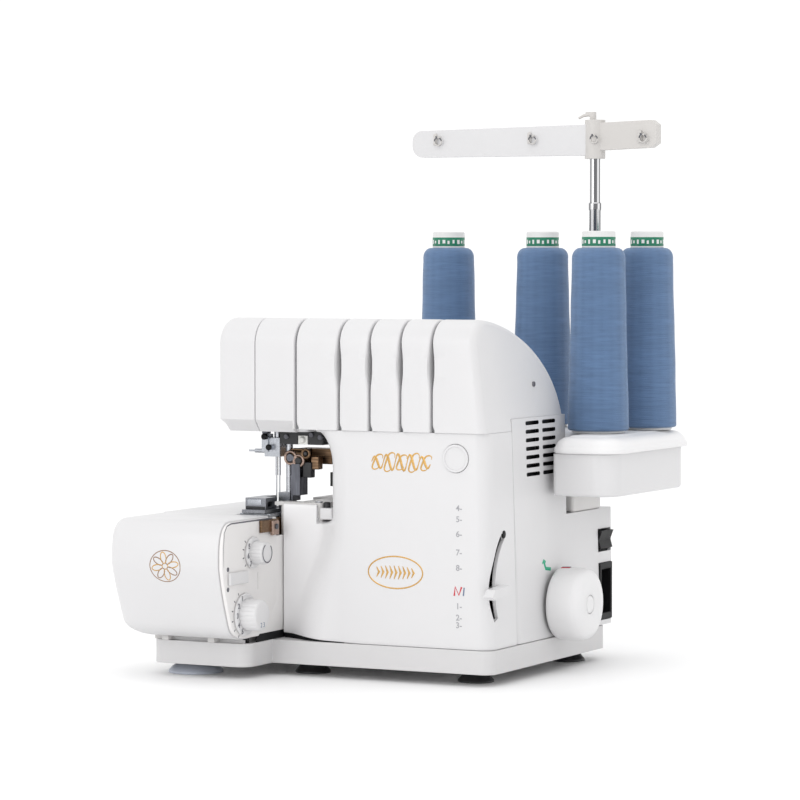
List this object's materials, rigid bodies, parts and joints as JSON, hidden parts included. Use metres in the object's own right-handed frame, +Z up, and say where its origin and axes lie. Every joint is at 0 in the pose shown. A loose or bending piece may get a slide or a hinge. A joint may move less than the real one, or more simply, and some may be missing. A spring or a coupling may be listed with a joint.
{
  "type": "serger overlock machine",
  "caption": "Tabletop overlock sewing machine with looper cover, dial panel, handwheel and a rear spool stand holding thread cones under a telescopic guide mast.",
  "frame": {"origin": "centre of the bounding box footprint, on the table under the feet", "axes": "+X to the machine's right where the handwheel is, +Y away from the operator, +Z up"},
  "size_m": [0.37, 0.3643, 0.475],
  "materials": {
    "belt_rubber": "moulded belt",
    "board": "solder-masked board",
    "bronze": "sintered bronze",
    "casting": "die-cast",
    "chrome": "polished",
    "dark_plastic": "matt moulded plastic",
    "dark_steel": "hardened",
    "foot_rubber": "soft moulded rubber",
    "lens": "frosted",
    "steel": "ground and polished",
    "thread": "wound sewing thread",
    "warm_plastic": "matt moulded plastic",
    "white_plastic": "satin moulded plastic"
  },
  "bodies": {
    "machine": {"base_plate": "warm_plastic", "feet": "foot_rubber", "frame_casting": "casting", "front_cover": "white_plastic", "rear_cover": "white_plastic", "head_cover": "white_plastic", "face_cover": "white_plastic", "vent_baffle": "dark_plastic", "bed_body": "warm_plastic", "dial_panel": "warm_plastic", "needle_bed": "warm_plastic", "needle_plate": "steel", "needle_carrier": "dark_plastic", "lamp": "lens", "tension_discs": "steel", "thread_rail": "dark_plastic", "looper_bracket": "steel", "lower_knife": "bronze", "circuit_board": "board", "motor": "steel", "shaft_bushes": "bronze", "drive_belt": "belt_rubber", "power_inlet": "dark_plastic", "screws": "steel", "stand_box": "white_plastic", "stand_lid": "white_plastic", "spool_pins": "white_plastic"},
    "wheel": {"handwheel": "white_plastic", "main_shaft": "steel", "shaft_pulley": "dark_plastic", "eccentrics": "steel"},
    "rotor": {"motor_pulley": "dark_plastic"},
    "needle_slide": {"needle_bar": "steel", "needle_clamp": "steel", "needles": "steel"},
    "presser": {"presser_bar": "steel", "presser_foot": "steel"},
    "lifter": {"presser_lifter": "dark_plastic"},
    "knife": {"upper_knife": "dark_steel", "knife_arm": "bronze"},
    "feed": {"feed_dogs": "dark_steel"},
    "looper_low": {"lower_looper": "steel"},
    "looper_high": {"upper_looper": "steel"},
    "front_door": {"looper_cover": "white_plastic"},
    "side_plate": {"cloth_plate": "white_plastic"},
    "length_knob": {"length_dial": "white_plastic"},
    "width_knob": {"width_dial": "white_plastic"},
    "latch": {"latch_slider": "white_plastic"},
    "feed_arm": {"feed_lever": "white_plastic"},
    "button": {"push_button": "white_plastic"},
    "rocker": {"power_rocker": "dark_plastic"},
    "mast_low": {"mast_tube": "chrome"},
    "mast_high": {"mast_rod": "chrome", "thread_bar": "white_plastic", "wire_guides": "steel"},
    "spool_1": {"cone_1": "thread"},
    "spool_2": {"cone_2": "thread"},
    "spool_3": {"cone_3": "thread"},
    "spool_4": {"cone_4": "thread"}
  },
  "joints": [
    {"name": "handwheel_turn", "type": "hinge", "parent": "machine", "child": "wheel", "pos_m": [0.1, 0.035, 0.0576], "axis": [1, 0, 0], "continuous": true},
    {"name": "motor_turn", "type": "hinge", "parent": "machine", "child": "rotor", "pos_m": [0.09, 0.096, 0.082], "axis": [1, 0, 0], "continuous": true},
    {"name": "needle_stroke", "type": "slide", "parent": "machine", "child": "needle_slide", "axis": [0, 0, 1], "range_m": [-0.012, 0.012]},
    {"name": "presser_lift", "type": "slide", "parent": "machine", "child": "presser", "axis": [0, 0, 1], "range_m": [0, 0.006]},
    {"name": "lifter_swing", "type": "hinge", "parent": "machine", "child": "lifter", "pos_m": [-0.072, 0, 0.2], "axis": [0, 1, 0], "range_deg": [0, 80]},
    {"name": "knife_swing", "type": "hinge", "parent": "machine", "child": "knife", "pos_m": [-0.04, -0.028, 0.181], "axis": [1, 0, 0], "range_deg": [-6, 6]},
    {"name": "feed_travel", "type": "slide", "parent": "machine", "child": "feed", "axis": [0, 1, 0], "range_m": [-0.002, 0.002]},
    {"name": "lower_looper_swing", "type": "hinge", "parent": "machine", "child": "looper_low", "pos_m": [-0.111, -0.06, 0.07], "axis": [0, 1, 0], "range_deg": [-12, 12]},
    {"name": "upper_looper_swing", "type": "hinge", "parent": "machine", "child": "looper_high", "pos_m": [-0.139, -0.06, 0.074], "axis": [0, 1, 0], "range_deg": [-10, 10]},
    {"name": "front_cover_open", "type": "hinge", "parent": "machine", "child": "front_door", "pos_m": [-0.134, -0.14, 0.037], "axis": [1, 0, 0], "range_deg": [0, 75]},
    {"name": "cloth_plate_open", "type": "hinge", "parent": "machine", "child": "side_plate", "pos_m": [-0.183, -0.02, 0.1146], "axis": [0, -1, 0], "range_deg": [0, 85]},
    {"name": "stitch_length_turn", "type": "hinge", "parent": "machine", "child": "length_knob", "pos_m": [-0.08, -0.145, 0.055], "axis": [1, 0, 0], "range_deg": [-120, 120]},
    {"name": "cutting_width_turn", "type": "hinge", "parent": "machine", "child": "width_knob", "pos_m": [-0.08, -0.131, 0.105], "axis": [1, 0, 0], "range_deg": [-90, 90]},
    {"name": "latch_travel", "type": "slide", "parent": "machine", "child": "latch", "axis": [0, 1, 0], "range_m": [-0.004, 0.004]},
    {"name": "feed_ratio_swing", "type": "hinge", "parent": "machine", "child": "feed_arm", "pos_m": [0.112, -0.03, 0.0765], "axis": [1, 0, 0], "range_deg": [-44, 18]},
    {"name": "button_press", "type": "slide", "parent": "machine", "child": "button", "axis": [0, 1, 0], "range_m": [0, 0.002], "stiffness_N_per_m": 300},
    {"name": "power_rock", "type": "hinge", "parent": "machine", "child": "rocker", "pos_m": [0.112, 0.1375, 0.1035], "axis": [0, 1, 0], "range_deg": [0, 6]},
    {"name": "mast_lower_slide", "type": "slide", "parent": "machine", "child": "mast_low", "axis": [0, 0, 1], "range_m": [-0.03, 0]},
    {"name": "mast_upper_slide", "type": "slide", "parent": "mast_low", "child": "mast_high", "axis": [0, 0, 1], "range_m": [-0.03, 0]},
    {"name": "cone_1_lift", "type": "slide", "parent": "machine", "child": "spool_1", "axis": [0, 0, 1], "range_m": [0, 0.06]},
    {"name": "cone_2_lift", "type": "slide", "parent": "machine", "child": "spool_2", "axis": [0, 0, 1], "range_m": [0, 0.06]},
    {"name": "cone_3_lift", "type": "slide", "parent": "machine", "child": "spool_3", "axis": [0, 0, 1], "range_m": [0, 0.06]},
    {"name": "cone_4_lift", "type": "slide", "parent": "machine", "child": "spool_4", "axis": [0, 0, 1], "range_m": [0, 0.06]}
  ],
  "couplings": [
    {"joint": "motor_turn", "follows": "handwheel_turn", "ratio": 2.75},
    {"joint": "lifter_swing", "follows": "presser_lift", "rad_per_m": 232.7}
  ]
}
